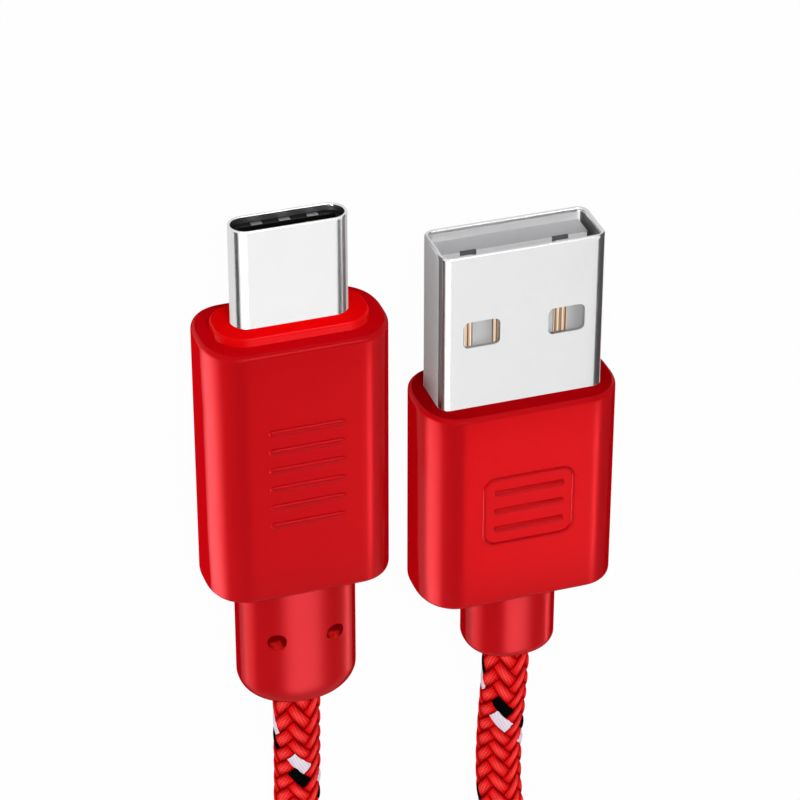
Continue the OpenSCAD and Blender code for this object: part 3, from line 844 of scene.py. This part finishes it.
def relaxed(line, reach):
    """Line averaged over reach points to each side, with its ends held."""
    weights = np.exp(-0.5 * (np.arange(-2 * reach, 2 * reach + 1) / reach) ** 2)
    weights /= weights.sum()
    pad = 2 * reach
    before = 2 * line[0] - line[pad:0:-1]
    after = 2 * line[-1] - line[-2:-pad - 2:-1]
    whole = np.concatenate((before, line, after))
    return np.stack([np.convolve(whole[:, k], weights, "valid") for k in range(3)], 1)


def cord_line():
    """The whole line of the cord from one plug to the other, and its length."""
    hank = [hank_point(t) for t in np.arange(0, HANK_TURNS, 1 / HANK_STEPS)]
    whole = curve_through(host_route) + hank + curve_through(device_route)[::-1]
    whole.append(np.array(device_exit))
    line, _ = spaced(whole, CORD_STEP)
    line = relaxed(line, 4)
    line[:, 2] = np.maximum(line[:, 2], CORD_R)
    return spaced(line, CORD_STEP)


# ------ the braid
STRANDS = 8  # strands each way round
BRAID_PITCH = 13.494  # mm along the cord for one turn of a strand
BRAID_START = -0.35  # mm of braid before the host plug's exit
BRAID_TURN = 0.028  # turns that the braid starts at
BRAID_TWIST = -0.0905  # turns that the braid twists over the whole cord
BRAID_RELIEF = 0.24  # mm from the bottom of the gaps to the top of a strand
DIVE = 0.55  # height of a strand where it goes under, as a share of that
FULLNESS = 0.6  # power that fills out its round section and its arch
SEAM = 0.001  # turns that keep the mesh off the strands' edges
BLACK_STRAND = 14  # of the sixteen, the last eight run the other way round
WHITE_STRAND = 13
YARNS = 6  # yarns side by side in one strand
YARN_SLANT = (9.0, 26.0)  # radians of the yarns' own twist along and across a strand
FINE_L = 24.0  # mm of cord from each plug that is made finely
FINE_STEP, COARSE_STEP = ((0.22, 0.5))
CORD_POINTS = 48


def braid_height(turn, pitch):
    """Height from 0 to 1 of a two-over-two braid at a share of a turn round and a count of pitches along."""
    u, v = STRANDS * (turn + pitch), STRANDS * (turn - pitch)
    i, j = np.floor(u), np.floor(v)
    a, b = u - i, v - j
    first = np.mod(i + j, 4) < 2
    across = np.where(first, a, b)
    float_at = np.where(first, np.mod(v + i, 4) / 2, np.mod(u + j, 4) / 2 - 1)
    dome = np.sqrt(np.clip(1 - (2 * across - 1) ** 2, 0, 1))
    rise = np.sin(math.pi * np.clip(float_at, 0, 1))
    return dome ** FULLNESS * (DIVE + (1 - DIVE) * rise ** FULLNESS)


def braid_radius(turn, pitch):
    return CORD_R - BRAID_RELIEF * (1 - braid_height(turn + SEAM, pitch))


def braid_material():
    """Red sleeve with a black and a white marker strand, on the braid's own turns and pitches; the red has a
    painted highlight on each strand's crown and painted shade at its edges.
    """
    tree = Tree("braided_sleeve")
    uv = tree.nodes.new("ShaderNodeUVMap")
    uv.uv_map = "braid"
    split = tree.nodes.new("ShaderNodeSeparateXYZ")
    tree.links.new(uv.outputs[0], split.inputs[0])
    m = tree.math
    times, plus, minus = tree.sums()
    turn, pitch = split.outputs[0], split.outputs[1]
    u = times(plus(turn, pitch), STRANDS)
    v = times(minus(turn, pitch), STRANDS)
    i, j = m("FLOOR", u), m("FLOOR", v)
    modulo = lambda value, base: m("FLOORED_MODULO", value, base)
    first = m("LESS_THAN", modulo(plus(i, j), 4), 2)
    pick = lambda x, y: plus(times(first, x), times(minus(1, first), y))
    across = pick(minus(u, i), minus(v, j))
    along = pick(v, u)
    number = pick(modulo(i, STRANDS), plus(modulo(j, STRANDS), STRANDS))
    centred = minus(times(across, 2.0), 1.0)
    edge = m("POWER", m("ABSOLUTE", centred), 4.0)
    ripple = lambda angle: times(plus(m("SINE", angle), 1), 0.5)
    yarns = ripple(times(across, 2 * math.pi * YARNS))
    twist = ripple(plus(times(along, YARN_SLANT[0]), times(across, YARN_SLANT[1])))
    fibre = times(plus(yarns, twist), 0.5)
    float_at = pick(
        m("DIVIDE", modulo(plus(v, i), 4), 2),
        minus(m("DIVIDE", modulo(plus(u, j), 4), 2), 1),
    )
    # Painted highlight on the crown of each red strand, and painted shade where it dives under.
    rise = m("POWER", m("ABSOLUTE", m("SINE", times(float_at, math.pi))), 0.5)
    crown_highlight = times(rise, minus(1.0, times(centred, centred)))
    is_black = m("COMPARE", number, BLACK_STRAND, 0.1)
    is_white = m("COMPARE", number, WHITE_STRAND, 0.1)
    red = tree.mix(fibre, (0.54, 0.0, 0.001, 1), (0.9, 0.004, 0.004, 1))
    lit = tree.mix(fibre, (0.95, 0.014, 0.014, 1), (1.0, 0.1, 0.09, 1))
    red = tree.mix(m("POWER", crown_highlight, 2.2), red, lit)
    # Painted shade in the gaps between the strands.
    red = tree.mix(edge, red, (0.05, 0.0, 0.001, 1))
    white = tree.mix(fibre, (0.70, 0.60, 0.72, 1), (0.94, 0.86, 0.94, 1))
    black = tree.mix(fibre, (0.0008, 0.0008, 0.0008, 1), (0.004, 0.0035, 0.004, 1))
    colour = tree.mix(is_white, tree.mix(is_black, red, black), white)
    tree.set(Base_Color=colour, Roughness=tree.spread(fibre, 0.0, 1.0, 0.62, 0.48), Specular_IOR_Level=0.0)
    tree.bump(fibre, 0.05, 0.7)
    return tree.owner


braid = braid_material()


def braided_cord():
    """The whole cord as one tube whose surface follows the braid, and its line."""
    line, length = cord_line()
    stations = np.concatenate((
        np.arange(0, FINE_L, FINE_STEP), np.arange(FINE_L, length - FINE_L, COARSE_STEP),
        np.arange(length - FINE_L, length, FINE_STEP), [length],
    ))
    run = run_along(line)
    at = np.minimum(stations, run[-1])
    centre = between(at, run, line)
    tangents = between(at, run, np.gradient(line, axis=0))
    tangents /= np.linalg.norm(tangents, axis=1)[:, None]
    sides = np.cross(tangents, (0, 0, 1))
    sides /= np.linalg.norm(sides, axis=1)[:, None]
    ups = np.cross(sides, tangents)
    around = CORD_POINTS
    turn = np.arange(around) / around
    angle = 2 * np.pi * turn
    pitch = (stations + BRAID_START) / BRAID_PITCH
    twist = BRAID_TURN + BRAID_TWIST * stations / length
    radius = braid_radius(turn[None, :] + twist[:, None], pitch[:, None])
    verts = centre[:, None, :] + radius[:, :, None] * (
        np.cos(angle)[None, :, None] * sides[:, None, :] + np.sin(angle)[None, :, None] * ups[:, None, :]
    )
    rings = len(stations)
    mesh = bpy.data.meshes.new("braided_cord")
    k = np.arange(around)
    first = np.arange(rings - 1)[:, None] * around
    following = (k + 1) % around
    quads = np.stack((first + k, first + following, first + around + following, first + around + k), -1)
    ends = [list(range(around))[::-1], [(rings - 1) * around + n for n in range(around)]]
    mesh.from_pydata((verts.reshape(-1, 3) * MM).tolist(), [], quads.reshape(-1, 4).tolist() + ends)
    layer = mesh.uv_layers.new(name="braid")
    turns = np.stack((k, k + 1, k + 1, k), -1) / around
    uv = np.zeros((rings - 1, around, 4, 2))
    uv[:, :, 0:2, 0] = turns[None, :, 0:2] + twist[:-1, None, None]
    uv[:, :, 2:4, 0] = turns[None, :, 2:4] + twist[1:, None, None]
    uv[:, :, 0:2, 1] = pitch[:-1, None, None]
    uv[:, :, 2:4, 1] = pitch[1:, None, None]
    flat = np.concatenate((uv.reshape(-1, 2), np.zeros((2 * around, 2))))
    layer.data.foreach_set("uv", flat.ravel())
    mesh.materials.append(braid)
    piece = new_object("braided_cord", mesh)
    for face in mesh.polygons:
        face.use_smooth = True
    work = bmesh.new()
    work.from_mesh(mesh)
    bmesh.ops.recalc_face_normals(work, faces=work.faces)
    work.to_mesh(mesh)
    work.free()
    return piece, line


# ------ the strap round the hank
STRAP_T = 0.45
STRAP_CORNER = 3  # corner of the strap's way round the hank
STRAP_GAP = 0.1  # between the strap and its lapped end
STRAP_LAP = 0.42  # share of a turn that the end laps over
STRAP_PASSES = 6  # times that its way is evened out


def make_strap():
    """Woven strap wound once round the hank, its end lapped over its top."""
    width, height = tie_high[0] - tie_low[0], tie_high[2] - tie_low[2]
    middle = (tie_low + tie_high) / 2
    path = []
    for inset, start, stop in ((1.5 * STRAP_T + STRAP_GAP, 0, 1), (STRAP_T / 2, 1, 1 + STRAP_LAP)):
        loop = outline(width - 2 * inset, height - 2 * inset, STRAP_CORNER - inset, 14, 24)
        count = len(loop)
        path += [loop[k % count] for k in range(int(start * count), int(stop * count))]
    points = np.array(path)
    for _ in range(STRAP_PASSES):
        points[1:-1] = (points[:-2] + 2 * points[1:-1] + points[2:]) / 4
    section = []
    half_w, half_t, steps = (tie_high[1] - tie_low[1]) / 2, STRAP_T / 2, 6
    for side in (1, -1):
        for k in range(steps + 1):
            a = math.radians(90 * side - 180 * k / steps)
            section.append((side * (half_w - half_t) + half_t * math.cos(a), half_t * math.sin(a)))
    rings = []
    for n, point in enumerate(points):
        normal = square_to(points[min(n + 1, len(points) - 1)] - points[max(n - 1, 0)])
        rings.append([
            (middle[0] + point[0] + normal[0] * h, middle[1] + w, middle[2] + point[1] + normal[1] * h)
            for w, h in section
        ])
    return add_piece("hank_strap_skin", *closed(rings), strap_cloth)


RIB_PITCH = 0.6
WEFT_PITCH = 0.4


def woven(name, colour):
    """Narrow woven tape: ribs along it and a fine weft across."""
    tree = Tree(name)
    m = tree.math
    times, plus, _ = tree.sums()
    x, y, z = tree.axes((1 / MM,) * 3)
    ribs = m("SINE", times(y, 2 * math.pi / RIB_PITCH))
    weft = m("SINE", times(plus(x, z), 2 * math.pi / WEFT_PITCH))
    weave = plus(times(ribs, 0.6), times(weft, 0.4))
    level = tree.spread(weave, -1.0, 1.0, 0.0, 1.0)
    tree.set(
        Base_Color=tree.mix(level, shade(colour, 0.6), shade(colour, 1.5)),
        Roughness=tree.spread(level, 0.0, 1.0, 0.8, 0.6),
        Specular_IOR_Level=0.25,
    )
    tree.bump(level, 0.12)
    return tree.owner


strap_cloth = woven("strap_weave", (0.012, 0.012, 0.013))
strap = make_strap()
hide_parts("hank_tie")

cord, line = braided_cord()
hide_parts("host_cord_run", "cord_hank", "device_cord_run")


def inner_cord(name, node, around=48, steps=40):
    """Short end of the same cord inside a relief."""
    low, high = node_box(node)
    x = (low[0] + high[0]) / 2
    ys = np.linspace(low[1], high[1], steps + 1)
    turn = np.arange(around) / around
    circle = np.stack((np.cos(2 * np.pi * turn), np.sin(2 * np.pi * turn)), 1)
    rings = []
    for y in ys:
        radius = braid_radius(turn, (y - low[1]) / BRAID_PITCH)
        rings.append(ring_at(circle * radius[:, None], x, y, plug_z))
    piece = add_piece(name, *closed(rings), braid, merge=False)
    layer = piece.data.uv_layers.new(name="braid")
    for loop in piece.data.loops:
        ring, k = divmod(loop.vertex_index, around)
        layer.data[loop.index].uv = (k / around, (ys[ring] - low[1]) / BRAID_PITCH)
    return piece


host_stub = inner_cord("host_cord_stub", "host_cord_end")
device_stub = inner_cord("device_cord_stub", "device_cord_end")

# ------ what stands for what
dressed = (
    (host_shell, "polished_steel", ("host_shell",)),
    (device_shell, "polished_steel", ("device_shell",)),
    (host_housing, "red_shell", ("host_housing",)),
    (device_housing, "red_shell", ("device_housing",)),
    (collar, "bright_red", ("device_collar",)),
    (host_boot, "red_relief", ("host_boot",)),
    (device_boot, "red_relief", ("device_boot",)),
    (host_stub, "braid", ("host_cord_end",)),
    (device_stub, "braid", ("device_cord_end",)),
    (strap, "strap", ()),
    (cord, "braid", ()),
)
for piece, finish, nodes in dressed:
    if nodes:
        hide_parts(*nodes)
    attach(piece, "root")

host_contacts = [f"host_contact_{n}" for n in (1, 2, 3, 4)]
plain = (
    (tongue_plastic, ["host_tongue"]),
    (gold, host_contacts + ["device_contacts_upper", "device_contacts_lower"]),
    (ivory_plastic, ["host_block", "device_block"]),
    (wire_plastic, ["host_wires", "device_wires"]),
    (can_metal, ["host_crimp", "device_crimp", "device_can"]),
    (black_plastic, ["device_insulator"]),
    (inner_steel, ["device_latch", "device_shield_pads"]),
    (board_mask, ["device_board"]),
    (resistor_body, ["device_resistor"]),
    (capacitor_body, ["device_capacitor"]),
)
for material, names in plain:
    for name in names:
        for holder in bpy.data.objects[name].material_slots:
            holder.material = material

# ------ floor, world and lamps
FLOOR_HALF = 1.5  # metres
FLOOR_Z = -0.0002
FLOOR_WHITE = 0.98
FLOOR_GLOSS = 0.6  # share of that white in reflections
FLOOR_GREY = 0.55  # its colour as a surface that lights the object
WORLD_LEVEL = 0.55
GLOSS_LEVEL = 1.0


def make_floor():
    """Even white to the eye, a little darker in reflections and grey as a source of light."""
    mesh = bpy.data.meshes.new("floor")
    corners = ((-1, -1), (1, -1), (1, 1), (-1, 1))
    mesh.from_pydata([(FLOOR_HALF * x, FLOOR_HALF * y, 0) for x, y in corners], [], [(0, 1, 2, 3)])
    floor = new_object("floor", mesh)
    floor.location.z = FLOOR_Z
    tree = Tree("floor")
    tree.nodes.remove(tree.shader)
    ray = tree.nodes.new("ShaderNodeLightPath").outputs
    white = tree.nodes.new("ShaderNodeEmission")
    card = tree.nodes.new("ShaderNodeBsdfDiffuse")
    card.inputs["Color"].default_value = (FLOOR_GREY, FLOOR_GREY, FLOOR_GREY, 1)
    blend = tree.nodes.new("ShaderNodeMixShader")
    times, plus, _ = tree.sums()
    mirror = plus(ray["Is Glossy Ray"], ray["Is Transmission Ray"])
    seen = plus(ray["Is Camera Ray"], times(mirror, FLOOR_GLOSS))
    tree.links.new(times(seen, FLOOR_WHITE), blend.inputs[0])
    tree.links.new(card.outputs[0], blend.inputs[1])
    tree.links.new(white.outputs[0], blend.inputs[2])
    tree.links.new(blend.outputs[0], tree.nodes["Material Output"].inputs["Surface"])
    mesh.materials.append(tree.owner)


def make_world():
    """White to the eye and in clear gloss, softer as light on the object."""
    tree = Tree("studio", bpy.data.worlds, "Background")
    bpy.context.scene.world = tree.owner
    ray = tree.nodes.new("ShaderNodeLightPath").outputs
    glossy = tree.math("MAXIMUM", ray["Is Glossy Ray"], ray["Is Transmission Ray"])
    level = tree.spread(glossy, 0.0, 1.0, WORLD_LEVEL, GLOSS_LEVEL)
    tree.set(Color=(1, 1, 1, 1), Strength=tree.spread(ray["Is Camera Ray"], 0.0, 1.0, level, 1.0))


VIEW = (camera.matrix_world.translation / MM - TARGET).normalized()
SUN_DISTANCE = 0.4  # metres, without effect on the light


def mirrored(slant, lean=0):
    """Direction that a surface mirrors to the camera, when it is slanted from +Z towards +X and leans to -Y."""
    slant, lean = math.radians(slant), math.radians(lean)
    normal = Vector((math.sin(slant) * math.cos(lean), -math.sin(lean), math.cos(slant) * math.cos(lean)))
    return 2 * normal.dot(VIEW) * normal - VIEW


def group(name, pieces):
    """Pieces that a lamp may light alone."""
    collection = bpy.data.collections.new(name)
    for piece in pieces:
        collection.objects.link(piece)
    return collection


def sun(name, towards, strength, softness, receivers=None, colour=(1, 1, 1)):
    """Distant soft lamp. With receivers it lights these pieces alone, through the others."""
    data = bpy.data.lights.new(name, "SUN")
    data.energy = strength
    data.angle = math.radians(softness)
    data.color = colour
    light = new_object(name, data)
    light.location = Vector(towards) * SUN_DISTANCE
    light.rotation_mode = "QUATERNION"
    light.rotation_quaternion = (-Vector(towards)).to_track_quat("-Z", "Y")
    if receivers:
        light.light_linking.receiver_collection = receivers
        data.use_shadow = False
        data.cycles.use_multiple_importance_sampling = False
    return light


CARD_DISTANCE = 350
CARD_GREY = 0.1


def mirror_only(name, verts, faces, grey):
    """Surface that only reflections see."""
    piece = add_piece(name, verts, faces, moulded(name, (grey,) * 3, 0.9, 0.0), merge=False)
    piece.visible_camera = False
    piece.visible_diffuse = False
    piece.visible_shadow = False


def card(name, bearing, width, low, high, steps=24):
    """Curved card far round the object."""
    verts, faces = [], []
    for k in range(steps + 1):
        a = math.radians(bearing - width / 2 + width * k / steps)
        for lift in (low, high):
            height = math.tan(math.radians(lift))
            verts.append(tuple(CARD_DISTANCE * c for c in (math.cos(a), math.sin(a), height)))
    for k in range(steps):
        faces.append((2 * k, 2 * k + 1, 2 * k + 3, 2 * k + 2))
    mirror_only(name, verts, faces, CARD_GREY)


def panel(name, corners, grey):
    """Flat card close to a plug."""
    mirror_only(name, corners, [(0, 1, 2, 3)], grey)


make_floor()
make_world()
sun("key", (0.0, -0.5, 0.87), 1.65, 25)
# Linked lamps: each group of pieces has one from the side without gloss, and strips of highlight that are gloss
# alone. A strip is slant and lean of the surface that shows it, strength, softness, and rest of the colours.
LIT_GROUPS = (
    ("host", [host_housing], 1.9, ((55, 0, 10, 40, 0.2), (0, 0, 2.2, 14, 0.04), (-11, 0, 3.4, 14, 0.12))),
    ("device", [device_housing], 2.4, (
        (66, 0, 9, 50, 0.2), (0, 0, 1.0, 14, 0.04), (-11, 0, 3.6, 14, 0.12), (0, 35, 4, 24, 0.3))),
    ("collar", [collar], 0.8, ((0, 0, 4.2, 40, 0.34), (0, 45, 10, 30, 0.34))),
    ("boots", [host_boot, device_boot], 1.2, (
        (57, 0, 5, 40, 0.15), (4, 0, 7.5, 30, 0.3), (-34, 0, 1.4, 12, 0.12))),
    ("cord", [cord], 1.0, ()),
)
for place, pieces, side, strips in LIT_GROUPS:
    receivers = group(place, pieces)
    sun(f"{place}_side", (1, 0, -0.3), side, 30, receivers).visible_glossy = False
    for slant, lean, strength, softness, rest in strips:
        colour = (1, rest, 1.1 * rest)
        strip = sun(f"{place}_{slant}_{lean}", mirrored(slant, lean), strength, softness, receivers, colour)
        strip.visible_diffuse = False
sun("shell_edge", mirrored(24), 0.6, 25, group("shells", [host_shell, device_shell])).visible_diffuse = False
sun("tongue", mirrored(0), 1.8, 20, group("tongue", [bpy.data.objects["host_tongue"]]))
sun("contacts", mirrored(0), 0.3, 20, group("contacts", [bpy.data.objects[n] for n in host_contacts]))
card("left_card", 33, 50, -10, 24)
card("right_card", 137, 26, 20, 47)
panel("right_panel", [(-22, -30, 0), (-22, 30, 0), (-22, 30, 14), (-22, -30, 14)], 0.17)
# Grey sheets seen only in reflections: painted shade of the floor between the plugs, and a painted dark
# reflection along the host shell's edge.
panel("floor_shade_panel", [(-1.7, -18, 0.05), (0.6, -18, 0.05), (0.6, 6, 0.05), (-1.7, 6, 0.05)], 0.45)
panel("edge_shade_panel", [(-0.9, -17, 3.8), (-0.9, -2, 3.8), (-0.9, -2, 5.7), (-0.9, -17, 5.7)], 0.36)
# The reds stay out of the steel's reflections.
for piece in (host_housing, device_housing, collar, host_boot, device_boot, cord, strap):
    piece.visible_glossy = False
bpy.context.scene.view_settings.view_transform = "Standard"
